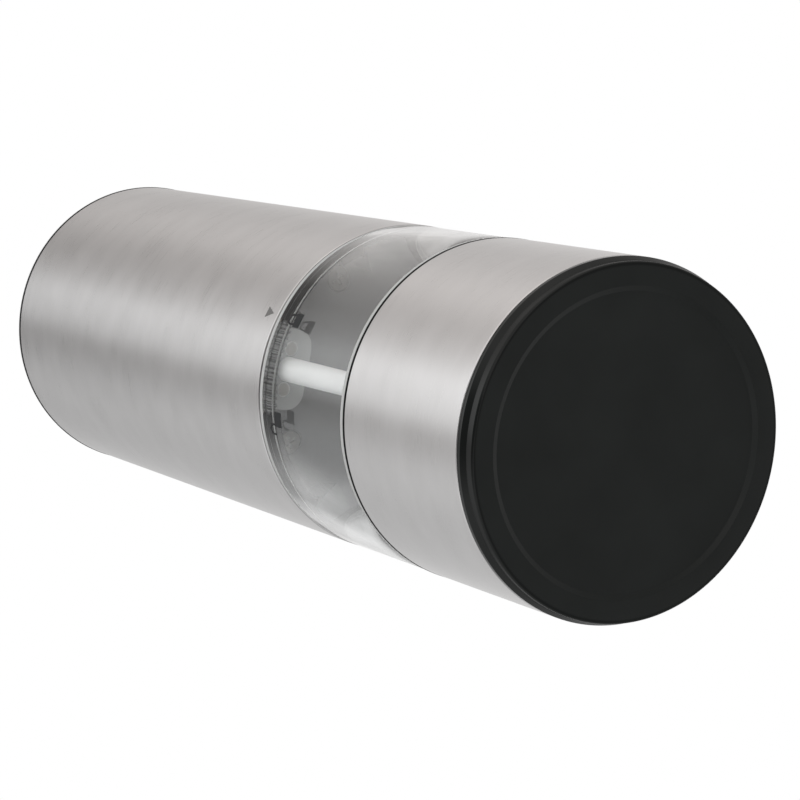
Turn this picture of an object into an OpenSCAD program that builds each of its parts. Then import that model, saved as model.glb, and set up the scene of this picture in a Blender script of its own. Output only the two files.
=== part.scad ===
// Electric pepper mill: two steel sleeves with a clear pepper window between them, a motor head that
// twists off to fill it, a ceramic grinder in the foot and a cap that covers the grinder.
// Millimetres, +Z up. The origin is the middle of the cap's foot, where the mill stands.

/* [Body] */
// Outside diameter of the steel sleeves
body_d = 64; // [63:0.5:70]
// Sheet thickness of the steel sleeves
sleeve_wall = 0.6; // [0.4:0.1:0.8]
// Height of the lower steel sleeve
lower_sleeve_h = 39.55; // [38:0.05:50]
// Height of the clear window between the sleeves
window_h = 33.5; // [28:0.5:44]
// Thickness of the clear window wall
window_wall = 3.8; // [3:0.1:4]
// Thickness of the seal under the window
seal_t = 0.4; // [0.3:0.1:1]
// Gap between the window and the turning head
head_gap = 0.3; // [0.2:0.05:0.6]
// Wall of the moulded shells inside the sleeves
shell_wall = 1.4; // [1:0.1:1.8]

/* [Base cap] */
// Height of the cap's rim below the steel
cap_h = 3.8; // [3.2:0.1:5]
// Height of the cap's inner floor
cap_floor = 2.4; // [2:0.1:3]
// Wall of the cap's rim
cap_rim = 2.4; // [1.8:0.1:2.8]
// Diameter of the shallow recess under the cap
cap_recess_d = 54.4; // [40:0.2:56]
// Depth of that recess
cap_recess = 0.5; // [0.3:0.1:0.8]
// Rounding of the cap's lower edge
cap_edge_r = 0.5; // [0.3:0.1:0.8]
// Distance that the foot stands in from the cap's flange
foot_in = 0.7; // [0.4:0.1:1.4]
// Height of the cap's flange
cap_flange_h = 1; // [0.8:0.1:1.4]
// Height of the push-fit ring inside the cap
plug_h = 5; // [4:0.1:6]
// Wall of the push-fit ring
plug_wall = 1.2; // [0.8:0.1:1.6]

/* [Grinder] */
// Widest diameter of the ceramic rotor
rotor_d = 26.4; // [24:0.2:28]
// Diameter of the rotor's neck above the fine teeth
neck_d = 19; // [17:0.2:20]
// Diameter of the rotor's top
rotor_top_d = 11; // [10:0.2:13]
// Height of the rotor
rotor_h = 18; // [16:0.5:19]
// Height of the rotor's fine teeth
fine_h = 7.5; // [6:0.5:9]
// Gap between the fine teeth at the coarsest setting
grind_gap = 0.85; // [0.7:0.05:1.2]
// Depth of the fine teeth
fine_depth = 0.8; // [0.5:0.1:1]
// Number of fine teeth on the rotor
fine_teeth = 30; // [20:1:36]
// Number of spiral feed flutes on the rotor
feed_flutes = 6; // [4:1:8]
// Depth of the feed flutes
flute_depth = 2.2; // [1:0.1:2.4]
// Wall of the ceramic stator outside its teeth
stator_wall = 1.6; // [1.2:0.1:2.4]
// Diameter of the adjuster knob
knob_d = 18; // [14:0.5:20]
// Height of the adjuster knob
knob_h = 4; // [3:0.1:4.4]
// Number of finger grooves round the knob
knob_grips = 12; // [8:1:16]

/* [Lamp] */
// Distance of the wire tube's centre from the chamber's wall
tube_inset = 3.6; // [3.4:0.1:4.6]
// Diameter of the wire tube at its top
tube_top_d = 4.4; // [4:0.1:5.2]
// Diameter of the wire tube at its foot
tube_foot_d = 4.2; // [4:0.1:5]
// Bore of the wire tube
tube_bore = 2.4; // [1.6:0.1:2.8]
// Diameter of the lamp
lamp_d = 5; // [3:0.1:5]
// Diameter of the contact pins
pin_d = 2.2; // [1.6:0.1:2.4]
// Distance of each contact pin from the tube's centre
pin_off = 3.65; // [3.6:0.05:4.2]
// Number of ribs on the contact holder's wall, each side of the tube
holder_ribs = 4; // [2:1:5]

/* [Bayonet] */
// Angle that the head turns between locked and open
lock_turn = 34; // [28:1:38]
// Height of the locking ring
lock_h = 1.6; // [1.5:0.1:2.4]
// Thickness of the ring's ledge
ledge_t = 1.3; // [1:0.1:1.4]
// Angle that each hook takes up
hook_arc = 22; // [16:1:24]
// Thickness of the hooks' toes
toe_t = 1.3; // [1:0.1:1.4]

/* [Drive] */
// Width across the flats of the drive shaft
shaft_af = 6; // [5:0.1:6.4]
// Gear module
gear_m = 0.7; // [0.6:0.02:0.76]
// Teeth of each sun gear
sun_z = 18; // [15:3:21]
// Teeth of each planet gear
planet_z = 18; // [15:3:21]
// Width of the gear faces
gear_face = 6; // [4:0.5:8]
// Thickness of the planet carriers
carrier_t = 2.5; // [2:0.1:3.5]
// Diameter of the planet pins
planet_pin_d = 3; // [2:0.1:4]
// Wall of the gearbox outside its ring gear
case_wall = 1.6; // [1.5:0.1:2.4]
// Thickness of the gearbox cover
gear_cover_t = 2.5; // [2:0.1:3.5]
// Motor diameter
motor_d = 24.4; // [20:0.2:28]
// Motor length
motor_l = 31; // [28:0.5:40]
// Diameter of the motor shaft
motor_shaft_d = 2; // [2:0.1:3]

/* [Head] */
// Height of the motor plate above the head's lower edge
plate_rise = 2.3; // [2.3:0.1:4]
// Thickness of the motor plate
plate_t = 2; // [1.6:0.1:3]
// Diameter of the battery cells
cell_d = 14.5; // [13.8:0.1:14.5]
// Length of the battery cells with their tips
cell_l = 50.5; // [49.2:0.1:50.5]
// Thickness of the top cover's plate
cover_t = 2.5; // [2:0.1:3.2]
// Thickness of the cover's rim on the steel
rim_t = 0.8; // [0.6:0.1:1.4]
// Height of the cover's skirt
cover_skirt = 7.4; // [6:0.1:8]
// Diameter of the push button
button_d = 30; // [24:0.5:34]
// Height of the button above the cover
button_h = 3; // [2.8:0.1:5]
// Way that the button is pressed
button_travel = 2.5; // [1.5:0.1:2.7]
// Rounding of the button's upper edge
button_edge_r = 1.2; // [0.5:0.1:1.6]

/* [Hidden] */
$fn = 96;

// Clearances: glued or pressed seats, running fits, pieces that pass each other
seat = 0.1;
run = 0.05;
pass = 0.3;
// How far joined shapes reach into each other, and how far cutters reach past a face
sink = 0.4;
past = 1;

// Radii that follow from the body
body_r = body_d / 2;
sleeve_in = body_r - sleeve_wall;
shell_r = sleeve_in - seat;
shell_in = shell_r - shell_wall;
window_r = body_r - seat;
chamber_r = window_r - window_wall;

// Gaps: the cap below its sleeve, and a piece that turns or slides above another
cap_gap = 0.15;
slide_gap = 0.4;
hair = 0.01;

// Heights from the foot up to the head
sleeve_z = cap_h + cap_gap;
seal_z = sleeve_z + lower_sleeve_h;
window_z = seal_z + seal_t;
window_top = window_z + window_h;
head_z = window_top + head_gap;

// Base cap
plug_inset = 1.9;
cap_bore_r = body_r - cap_rim;
plug_r = cap_bore_r - plug_inset;
cap_foot_r = body_r - foot_in;
slant_h = 1;
slant_top = cap_h - cap_flange_h;

// Grinder housing: a foot ring that takes the cap's plug, a web, and a socket for the stator
plug_room = 6;
house_z = cap_h + slide_gap;
web_z = house_z + plug_room;
web_t = 2;
stator_z = web_z + web_t;
stator_h = rotor_h;
rotor_r = rotor_d / 2;
neck_r = neck_d / 2;
rotor_z = stator_z + slide_gap;
rotor_top = rotor_z + rotor_h;
stator_r = rotor_r + grind_gap + fine_depth + stator_wall;
socket_r = stator_r + seat;
socket_wall = 1.7;
stator_room = 1;
throat_lip = 1.5;
stator_lip = 0.2;
throat_z = stator_z + stator_h + stator_room;
throat_r = socket_r - throat_lip;
lip_r = rotor_r + grind_gap + fine_depth - stator_lip;
boss_r = 2.6;
screw_r = 1.1;
screw_head_r = 2;
cross_l = 2.4;
cross_w = 0.6;
cross_deep = 0.7;
screw_head_h = 1.4;
house_screw_inset = 3.8;
house_screw_r = shell_in - boss_r - house_screw_inset;
house_screw_l = 12;
house_screw_angles = [30, 150, 210, 330];
funnel_rise = 2;
funnel_z = window_z + funnel_rise;
funnel_t = 2.6;
funnel_edge = 1.8;

// Knob and lower end of the shaft
thread_cut = 0.6;
thread_rise = 1.6;
spring_room = 7.6;
spring_turns = 4;
thread_r = shaft_af / 2 - thread_cut;
thread_top = rotor_z + thread_rise;
knob_z = rotor_z - pass - knob_h;
shaft_foot = knob_z + thread_cut;
shaft_r = shaft_af / 2 / cos(30);
collar_z = rotor_top + spring_room;
collar_t = 1.5;
collar_wide = 2;
collar_r = shaft_r + collar_wide;
spring_wire = 0.8;

// Lamp, wire tube and contacts on the front side
front = -90;
tube_r = chamber_r - tube_inset;
lamp_r = lamp_d / 2;
lamp_flange = 0.4;
lamp_at = plug_r - plug_wall - pass - lamp_r - lamp_flange;
lock_z = window_top - seat - lock_h;
holder_drop = 1.4;
holder_z = window_top - holder_drop;
holder_t = 2.2;
holder_half = 7.2;
holder_reach = 4.2;
holder_in = tube_r - holder_reach;
holder_corner = 3;
corner_steps = 6;
rib_t = 0.5;
rib_deep = 0.6;
rib_h = 1.2;
pin_rise = 1;
pin_foot = 0.3;
pin_top = holder_z + holder_t + pin_rise;

// Locking ring and hooks
lock_r = chamber_r - seat;
lock_wall = 0.8;
ledge_w = 2.4;
hook_w = 1.8;
hook_slack = 2;
holder_slack = 1;
ledge_in = lock_r - ledge_w;
ledge_z = lock_z + lock_h - ledge_t;
hook_angles = [90, 200, 340];
hook_out = ledge_in - slide_gap;
hook_in = hook_out - hook_w;
toe_r = lock_r - lock_wall - pass;
toe_z = ledge_z - slide_gap - toe_t;
holder_gap = 2 * asin((holder_half + holder_slack) / (lock_r - lock_wall));
holder_wall_play = 2;
holder_wall_arc = holder_gap - holder_wall_play;

// Gear train: two equal planet stages that share one ring gear
ring_z = sun_z + 2 * planet_z;
sun_r = gear_m * sun_z / 2;
planet_r = gear_m * planet_z / 2;
ring_r = gear_m * ring_z / 2;
gear_dist = sun_r + planet_r;
tooth_head = gear_m;
tooth_foot = 1.25 * gear_m;
backlash = 0.05;
pressure_angle = 20;
flank_steps = 4;
planet_count = 3;
carrier_rim = 2.4;
carrier_r = gear_dist + planet_pin_d / 2 + carrier_rim;
pin_r = planet_pin_d / 2;
ring_root = ring_r + tooth_foot;
case_r = ring_root + case_wall;
plate_screw_angles = [-41, -125, 55, 139];
plate_screw_r = case_r + screw_r + pass;
plate_screw_l = 9;
ear_h = 10;

// Heights of the drive, from the motor plate up
stage_gap = 0.6;
case_gap = 1;
plate_z = head_z + plate_rise;
case_z = plate_z + plate_t;
out_z = case_z + case_gap;
stage2_z = out_z + carrier_t + pass;
first_z = stage2_z + gear_face + stage_gap;
stage1_z = first_z + carrier_t + pass;
gear_cover_z = stage1_z + gear_face + stage_gap;
motor_z = gear_cover_z + gear_cover_t;
motor_top = motor_z + motor_l;
motor_nose_r = 3;
motor_nose_h = 1.8;
motor_boss_h = 1;
motor_shaft_out = 1.4;
motor_screw_inset = 4;
motor_screw_l = 5;
sink_h = 1;
sink_room = 0.3;
hub_wall = 2;
hub_r = shaft_r + hub_wall;
hub_drop = 2.5;
hub_z = plate_z - hub_drop;
boss_wall = 3.5;
seal_ring = 2;
seal_h = 1.5;

// Battery room and top
ledge_h = 2;
ledge_lip = 1;
motor_room = 2.7;
holder_floor_z = motor_top + motor_room;
holder_floor_t = 2;
contact_t = 0.5;
cell_z = holder_floor_z + holder_floor_t + contact_t;
cell_top = cell_z + cell_l;
cell_tip_r = 2.75;
cell_tip_h = 1.2;
cell_count = 4;
cell_apart = 6;
cell_slack = 0.25;
cell_ring_r = (cell_d + cell_apart) / sqrt(2);
cell_bore = cell_d / 2 + cell_slack;
cell_wall = 1.4;
cradle_h = cell_l * 4 / 5;
contact_inset = 1;
board_z = cell_top + pass + contact_t;
board_t = 1.6;
board_top = board_z + board_t;
button_flange_t = 1.4;
switch_room = 1;
cover_under = board_top + switch_room + button_travel + button_flange_t + slide_gap;
cover_top = cover_under + cover_t;
rim_z = cover_top - rim_t;
upper_top = rim_z - seat;
upper_sleeve_h = upper_top - head_z;
rim_r = body_r + seat;
skirt_r = shell_in - pass;
skirt_wall = 1.8;
skirt_z = cover_under - cover_skirt;
board_r = skirt_r - skirt_wall - pass;
button_r = button_d / 2;
button_top = cover_top + button_h;
button_wall = 1.8;
button_flange_w = 2.2;
flange_z = cover_under - slide_gap - button_flange_t;
button_flange_r = button_r + button_flange_w;
push_r = 2.5;
push_room = 0.8;
push_z = board_top + button_travel + push_room;
leaf_w = 4;
leaf_l = 8;
leaf_t = 0.3;
button_spring_r = 5.2;
button_wire = 0.7;
button_turns = 5;

steel = [0.74, 0.73, 0.71];
black = [0.07, 0.07, 0.07];
dark_grey = [0.3, 0.3, 0.31];
clear = [0.86, 0.9, 0.92, 0.35];
milky = [0.85, 0.87, 0.87, 0.7];
white = [0.93, 0.94, 0.94];
ceramic = [0.9, 0.89, 0.85];
brass = [0.78, 0.63, 0.32];
nylon = [0.88, 0.86, 0.78];
cell_blue = [0.2, 0.33, 0.55];
board_green = [0.1, 0.3, 0.16];

// Round tube from radius r inwards, standing at height z
module tube(r, wall, z, h) {
    translate([0, 0, z]) rotate_extrude() translate([r - wall, 0]) square([wall, h]);
}

// Part of a ring between two radii, from angle a over the angle arc
module sector(r_in, r_out, z, h, a, arc) {
    rotate([0, 0, a]) rotate_extrude(angle = arc) translate([r_in, z]) square([r_out - r_in, h]);
}

// Places its children round the axis
module around(r, angles, z = 0) {
    for (a = angles) rotate([0, 0, a]) translate([r, 0, z]) children();
}

// The outer corner of a profile, to be cut off it with radius r
module round_corner(r) {
    difference() {
        square(r + past);
        circle(r);
    }
}

// Six-sided bar with the given width across its flats
module hex_bar(width, h) {
    cylinder(r = width / 2 / cos(30), h = h, $fn = 6);
}

// Outline of n pointed teeth between two radii
function star(n, r_out, r_in) = [
    for (i = [0 : 2 * n - 1]) (i % 2 == 0 ? r_out : r_in) * [cos(180 * i / n), sin(180 * i / n)]
];

// Outline of n smooth flutes, each cut to the given depth
function fluted(n, r, depth) = [
    for (i = [0 : 8 * n - 1]) let (a = 45 * i / n) (r - depth * (1 - cos(n * a)) / 2) * [cos(a), sin(a)]
];

// Outline of a tab from x_in to x_out, with its two corners at x_in rounded
function tab(x_in, x_out, half, corner) = concat(
    [[x_out, half]],
    [for (k = [0 : corner_steps]) let (a = 90 + 90 * k / corner_steps)
        [x_in + corner + corner * cos(a), half - corner + corner * sin(a)]],
    [for (k = [0 : corner_steps]) let (a = 180 + 90 * k / corner_steps)
        [x_in + corner + corner * cos(a), corner - half + corner * sin(a)]],
    [[x_out, -half]]
);

// Angle, in degrees, that an involute from base radius rb has turned at radius r
function involute(rb, r) = r <= rb ? 0 : let (p = acos(rb / r)) tan(p) * 180 / PI - p;

// Outline of a gear with z teeth, one of them on +X. slack thins the teeth at the pitch circle
function gear(z, head, foot, slack) = let (
    rp = gear_m * z / 2,
    rb = rp * cos(pressure_angle),
    half = 90 / z - slack / rp * 180 / PI + involute(rb, rp),
    radii = [for (k = [0 : flank_steps]) rp - foot + (head + foot) * k / flank_steps],
    flank = [for (r = radii) [r, half - involute(rb, r)]],
    tooth = concat([for (p = flank) [p[0], -p[1]]], [for (k = [flank_steps : -1 : 0]) flank[k]])
) [for (i = [0 : z - 1]) for (p = tooth) p[0] * [cos(p[1] + 360 * i / z), sin(p[1] + 360 * i / z)]];

// Points of a coil spring: rings of six points along a helix of the given height
coil_sides = 6;
coil_steps = 8;
function coil_centre(r, h, turns, k) = let (t = k / (coil_steps * turns))
    [r * cos(360 * turns * t), r * sin(360 * turns * t), h * t];
function coil_points(r, wire, h, turns) = [
    for (k = [0 : coil_steps * turns], s = [0 : coil_sides - 1])
        let (c = coil_centre(r, h, turns, k), a = 360 * k / coil_steps, b = 360 * s / coil_sides)
        c + wire / 2 * [cos(b) * cos(a), cos(b) * sin(a), sin(b)]
];
function coil_faces(rings) = concat(
    [for (k = [0 : rings - 2], s = [0 : coil_sides - 1], half = [0, 1])
        let (n = (s + 1) % coil_sides, a = k * coil_sides, b = a + coil_sides)
        half == 0 ? [a + s, b + s, a + n] : [a + n, b + s, b + n]],
    [for (s = [1 : coil_sides - 2]) [0, s, s + 1]],
    [for (s = [1 : coil_sides - 2]) let (e = (rings - 1) * coil_sides) [e, e + s + 1, e + s]]
);

// Coil spring standing at height z between its two seats
module coil(r, wire, z, h, turns) {
    rise = h - wire;
    gap = min([for (k = [0 : coil_steps * (turns - 1)])
        norm(coil_centre(r, rise, turns, k + coil_steps) - coil_centre(r, rise, turns, k))]) - wire;
    echo("least gap between the turns of a spring", gap);
    translate([0, 0, z + wire / 2])
        polyhedron(coil_points(r, wire, rise, turns), coil_faces(coil_steps * turns + 1));
}

// Push-on cap with a rounded foot, a shallow recess below and a ring that plugs into the foot
module base_cap() {
    color(black) rotate_extrude() {
        difference() {
            square([body_r, cap_h]);
            translate([0, cap_floor]) square([cap_bore_r, cap_h]);
            polygon([
                [0, 0],
                [cap_recess_d / 2, 0],
                [cap_recess_d / 2 - 2 * cap_recess, cap_recess],
                [0, cap_recess]
            ]);
            polygon([
                [cap_foot_r, -past], [body_r + past, -past], [body_r + past, slant_top + past],
                [body_r + slant_h, slant_top + past], [body_r, slant_top], [cap_foot_r, slant_top - slant_h]
            ]);
            translate([cap_foot_r - cap_edge_r, cap_edge_r]) mirror([0, 1]) round_corner(cap_edge_r);
        }
        translate([plug_r - plug_wall, cap_floor - sink]) square([plug_wall, plug_h + sink]);
    }
}

module lower_sleeve() {
    color(steel) tube(body_r, sleeve_wall, sleeve_z, lower_sleeve_h);
}

module window_seal() {
    color(black) tube(window_r, window_r - sleeve_in, seal_z, seal_t);
}

// Clear cup: window wall, skirt inside the lower sleeve and a funnel down to the grinder
module pepper_chamber() {
    skirt_wall_t = 1.8;
    foot_t = 1.2;
    skirt_in = shell_r - skirt_wall_t;
    foot_r = socket_r + socket_wall;
    color(clear) difference() {
        rotate_extrude() polygon([
            [window_r, window_top], [window_r, window_z], [shell_r, window_z], [shell_r, throat_z],
            [skirt_in, throat_z], [skirt_in, funnel_z - funnel_t], [foot_r, throat_z + foot_t],
            [foot_r, throat_z], [throat_r, throat_z], [throat_r, throat_z + funnel_edge],
            [chamber_r, funnel_z], [chamber_r, window_top]
        ]);
        around(tube_r, [front], throat_z - past)
            cylinder(d = tube_top_d + 2 * seat, h = window_z + past - throat_z + funnel_t);
    }
}

// Black ring in the window's mouth. Its ledge holds the hooks of the head
module lock_ring() {
    gap_from = front + holder_gap / 2;
    color(black) difference() {
        union() {
            tube(lock_r, lock_wall, lock_z, lock_h);
            tube(lock_r, lock_r - ledge_in, ledge_z, ledge_t);
        }
        sector(ledge_in - past, lock_r + past, lock_z - past, lock_h + 2 * past,
            gap_from - holder_gap, holder_gap);
        for (a = hook_angles)
            sector(ledge_in - past, toe_r + seat, ledge_z - past, ledge_t + 2 * past,
                a - lock_turn - hook_arc / 2 - hook_slack, hook_arc + 2 * hook_slack);
    }
}

// Moulded foot: ring for the cap's plug, web, and the socket that holds the stator
module grinder_housing() {
    plug_fit = plug_r + pass;
    color(black) difference() {
        rotate_extrude() {
            translate([shell_in, house_z]) square([shell_wall, throat_z - house_z]);
            translate([plug_fit, house_z]) square([shell_r - plug_fit, web_z - house_z]);
            translate([socket_r, web_z]) square([shell_r - socket_r, web_t]);
            translate([socket_r, web_z]) square([socket_wall, throat_z - web_z]);
            translate([lip_r, web_z]) square([socket_r - lip_r + sink, web_t]);
        }
        around(lamp_at, [front], web_z - past) cylinder(r = lamp_r + seat, h = web_t + 2 * past);
        around(house_screw_r, house_screw_angles, web_z - past)
            cylinder(r = screw_r + seat, h = web_t + 2 * past);
    }
    color(black) around(house_screw_r, house_screw_angles, web_z + web_t) difference() {
        cylinder(r = boss_r, h = throat_z - web_z - web_t);
        translate([0, 0, -past]) cylinder(r = screw_r + seat, h = throat_z);
    }
}

// Screws that hold the foot together from below, heads under the web
module housing_screws() {
    color(steel) around(house_screw_r, house_screw_angles) difference() {
        union() {
            translate([0, 0, web_z - screw_head_h]) cylinder(r = screw_head_r, h = screw_head_h);
            translate([0, 0, web_z - sink]) cylinder(r = screw_r, h = house_screw_l);
        }
        cross_recess(web_z - screw_head_h);
    }
}

// Cross-shaped recess for the driver, in a head whose face is at height z and looks down
module cross_recess(z) {
    translate([-cross_l / 2, -cross_w / 2, z - past]) cube([cross_l, cross_w, cross_deep + past]);
    translate([-cross_w / 2, -cross_l / 2, z - past]) cube([cross_w, cross_l, cross_deep + past]);
}

// Fixed ceramic ring: coarse teeth that draw the pepper in, fine teeth that widen to the outlet
module stator() {
    mouth_edge = 0.5;
    coarse_depth = 0.2;
    stator_teeth_more = 6;
    bore_r = rotor_r + grind_gap;
    waist_r = neck_r + grind_gap;
    coarse_h = stator_h - fine_h;
    mouth_r = throat_r - mouth_edge;
    color(ceramic) translate([0, 0, stator_z]) difference() {
        cylinder(r = stator_r, h = stator_h);
        translate([0, 0, -hair]) linear_extrude(height = fine_h + hair, scale = waist_r / bore_r)
            polygon(star(fine_teeth + stator_teeth_more, bore_r + fine_depth, bore_r));
        translate([0, 0, fine_h - coarse_depth])
            linear_extrude(height = coarse_h + coarse_depth + hair, scale = mouth_r / waist_r)
                polygon(star(2 * feed_flutes, waist_r, waist_r - coarse_depth));
    }
}

// Turning ceramic cone: spiral feed flutes above, fine teeth below, six-sided bore for the shaft
module grinder_rotor() {
    neck_step = 0.4;
    flute_twist = 50;
    flute_slices = 6;
    color(ceramic) translate([0, 0, rotor_z]) difference() {
        union() {
            linear_extrude(height = fine_h, scale = neck_r / rotor_r)
                polygon(star(fine_teeth, rotor_r, rotor_r - fine_depth));
            translate([0, 0, fine_h - sink])
                linear_extrude(
                    height = rotor_h - fine_h + sink,
                    scale = rotor_top_d / neck_d,
                    twist = flute_twist,
                    slices = flute_slices
                ) polygon(fluted(feed_flutes, neck_r - neck_step, flute_depth));
        }
        translate([0, 0, -past]) hex_bar(shaft_af + 2 * seat, rotor_h + 2 * past);
    }
}

// Knob on the shaft's threaded end. It lifts the rotor to grind finer
module adjuster_knob() {
    grip_r = 1.4;
    color(white) translate([0, 0, knob_z]) difference() {
        cylinder(d = knob_d, h = knob_h);
        translate([0, 0, -past]) cylinder(r = thread_r + run, h = knob_h + 2 * past);
        around(knob_d / 2 + grip_r / 2, [for (i = [1 : knob_grips]) 360 * i / knob_grips], -past)
            cylinder(r = grip_r, h = knob_h + 2 * past, $fn = 32);
    }
}

// Spring that keeps the rotor down on the knob
module rotor_spring() {
    coil_r = shaft_r + slide_gap + spring_wire / 2;
    color(steel) coil(coil_r, spring_wire, rotor_top + seat, collar_z - rotor_top - 2 * seat, spring_turns);
}

module shaft_collar() {
    color(steel) translate([0, 0, collar_z]) difference() {
        cylinder(r = collar_r, h = collar_t);
        translate([0, 0, -past]) hex_bar(shaft_af + 2 * run, collar_t + 2 * past);
    }
}

module drive_shaft() {
    color(steel) {
        translate([0, 0, thread_top]) hex_bar(shaft_af, out_z - thread_top);
        translate([0, 0, shaft_foot]) cylinder(r = thread_r, h = thread_top - shaft_foot + sink);
    }
}

// Lamp in the foot, looking down, with its collar under the web
module lamp() {
    collar_h = 1;
    body_h = 0.6;
    color(milky) around(lamp_at, [front]) {
        translate([0, 0, web_z - collar_h]) cylinder(r = lamp_r + lamp_flange, h = collar_h);
        translate([0, 0, web_z - sink]) cylinder(r = lamp_r, h = web_t);
        intersection() {
            translate([0, 0, web_z - collar_h - body_h]) sphere(r = lamp_r);
            translate([0, 0, web_z - collar_h - body_h - lamp_r]) cylinder(r = lamp_r, h = 2 * lamp_r);
        }
    }
}

// White tube that leads the lamp's wires through the pepper
module wire_tube() {
    foot_z = web_z + web_t;
    color(white) around(tube_r, [front], foot_z) difference() {
        cylinder(d1 = tube_foot_d, d2 = tube_top_d, h = holder_z - foot_z);
        translate([0, 0, -past]) cylinder(d = tube_bore, h = holder_z - foot_z + 2 * past);
    }
}

// Translucent holder of the lamp's contacts on top of the tube, with a ribbed wall behind the window
module contact_holder() {
    wall_from = front - holder_wall_arc / 2;
    wall_h = rib_h + holder_t / 2;
    rib_first = asin((tube_top_d / 2 + slide_gap + rib_t) / lock_r);
    rib_step = (holder_wall_arc / 2 - rib_first) / holder_ribs;
    color(milky) {
        translate([0, 0, holder_z]) difference() {
            intersection() {
                rotate([0, 0, front]) linear_extrude(holder_t)
                    polygon(tab(holder_in, lock_r, holder_half, holder_corner));
                translate([0, 0, -past]) cylinder(r = lock_r - lock_wall / 2, h = holder_t + 2 * past);
            }
            contact_places() translate([0, 0, -past]) cylinder(d = pin_d + 2 * run, h = holder_t + 2 * past);
        }
        sector(lock_r - lock_wall, lock_r, holder_z - rib_h, wall_h, wall_from, holder_wall_arc);
        for (side = [-1, 1], i = [0 : holder_ribs - 1])
            rotate([0, 0, front + side * (rib_first + rib_step * i)])
                translate([lock_r - lock_wall - rib_deep, -rib_t / 2, holder_z - rib_h])
                    cube([rib_deep + sink, rib_t, rib_h + sink]);
    }
}

// The two places of the lamp's contacts, either side of the tube
module contact_places() {
    rotate([0, 0, front]) for (y = [-pin_off, pin_off]) translate([tube_r, y, 0]) children();
}

module contact_pins() {
    color(brass) contact_places() translate([0, 0, holder_z - pin_foot])
        cylinder(d = pin_d, h = pin_top - holder_z + pin_foot);
}

module head_contacts() {
    color(brass) contact_places() translate([0, 0, pin_top + pass])
        cylinder(d = pin_d + pin_rise, h = plate_z - pin_top - pass);
}

// One planet gear of a stage at height z, with a gap between teeth towards the axis
module planet(z, angle) {
    color(nylon) rotate([0, 0, angle]) translate([gear_dist, 0, z]) difference() {
        rotate([0, 0, 180 + 180 / planet_z]) linear_extrude(gear_face)
            polygon(gear(planet_z, tooth_head, tooth_foot, backlash));
        translate([0, 0, -past]) cylinder(r = pin_r + run, h = gear_face + 2 * past);
    }
}

// Disc with one pin for each planet
module carrier(z) {
    translate([0, 0, z]) cylinder(r = carrier_r, h = carrier_t);
    around(gear_dist, [for (i = [0 : planet_count - 1]) 360 * i / planet_count], z + carrier_t - sink)
        cylinder(r = pin_r, h = gear_face + pass + 2 * seat + sink);
}

// Slow carrier whose hub reaches through the motor plate and drives the shaft
module output_carrier() {
    color(nylon) difference() {
        union() {
            carrier(out_z);
            translate([0, 0, hub_z]) cylinder(r = hub_r, h = out_z - hub_z + sink);
        }
        translate([0, 0, hub_z - past]) hex_bar(shaft_af + 2 * run, out_z - hub_z + past);
    }
}

// Fast carrier with the sun gear of the second stage below it
module first_carrier() {
    color(nylon) {
        carrier(first_z);
        translate([0, 0, stage2_z + seat]) linear_extrude(first_z - stage2_z - seat + sink)
            polygon(gear(sun_z, tooth_head, tooth_foot, backlash));
    }
}

module motor_pinion() {
    color(brass) translate([0, 0, stage1_z + seat]) difference() {
        linear_extrude(gear_face) polygon(gear(sun_z, tooth_head, tooth_foot, backlash));
        translate([0, 0, -past]) cylinder(d = motor_shaft_d + run, h = gear_face + 2 * past);
    }
}

module motor_shaft() {
    color(steel) translate([0, 0, stage1_z + seat])
        cylinder(d = motor_shaft_d, h = motor_top + motor_shaft_out - stage1_z);
}

// Round can motor with a bearing boss at each end
module motor() {
    bore_z = motor_z - motor_nose_h - past;
    color(steel) difference() {
        union() {
            translate([0, 0, motor_z]) cylinder(d = motor_d, h = motor_l);
            translate([0, 0, motor_z - motor_nose_h]) cylinder(r = motor_nose_r, h = motor_nose_h + sink);
            translate([0, 0, motor_top - sink])
                cylinder(r = motor_nose_r + motor_boss_h, h = motor_boss_h + sink);
        }
        translate([0, 0, bore_z])
            cylinder(r = motor_shaft_d / 2 + run, h = motor_top + motor_boss_h + past - bore_z);
        motor_screw_places() translate([0, 0, motor_z - past])
            cylinder(r = screw_r + run, h = motor_screw_l);
    }
}

module motor_screw_places() {
    for (x = [-1, 1]) translate([x * (motor_d / 2 - motor_screw_inset), 0, 0]) children();
}

// Countersunk screws that hold the motor to the gearbox cover
module motor_screws() {
    color(steel) motor_screw_places() difference() {
        union() {
            translate([0, 0, gear_cover_z + seat]) cylinder(r1 = screw_head_r, r2 = screw_r, h = sink_h);
            translate([0, 0, gear_cover_z + sink]) cylinder(r = screw_r, h = motor_screw_l);
        }
        cross_recess(gear_cover_z + seat);
    }
}

// Gearbox wall with the ring gear inside and four ears for the plate's screws
module gearbox_case() {
    color(dark_grey) difference() {
        union() {
            translate([0, 0, case_z]) cylinder(r = case_r, h = gear_cover_z - case_z);
            around(plate_screw_r, plate_screw_angles, case_z) cylinder(r = boss_r, h = ear_h);
        }
        translate([0, 0, case_z - past]) rotate([0, 0, planet_z % 2 == 0 ? 180 / ring_z : 0])
            linear_extrude(gear_cover_z - case_z + 2 * past)
                polygon(gear(ring_z, tooth_foot, tooth_head, -backlash));
        around(plate_screw_r, plate_screw_angles, case_z - past) cylinder(r = screw_r + run, h = ear_h);
    }
}

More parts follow.
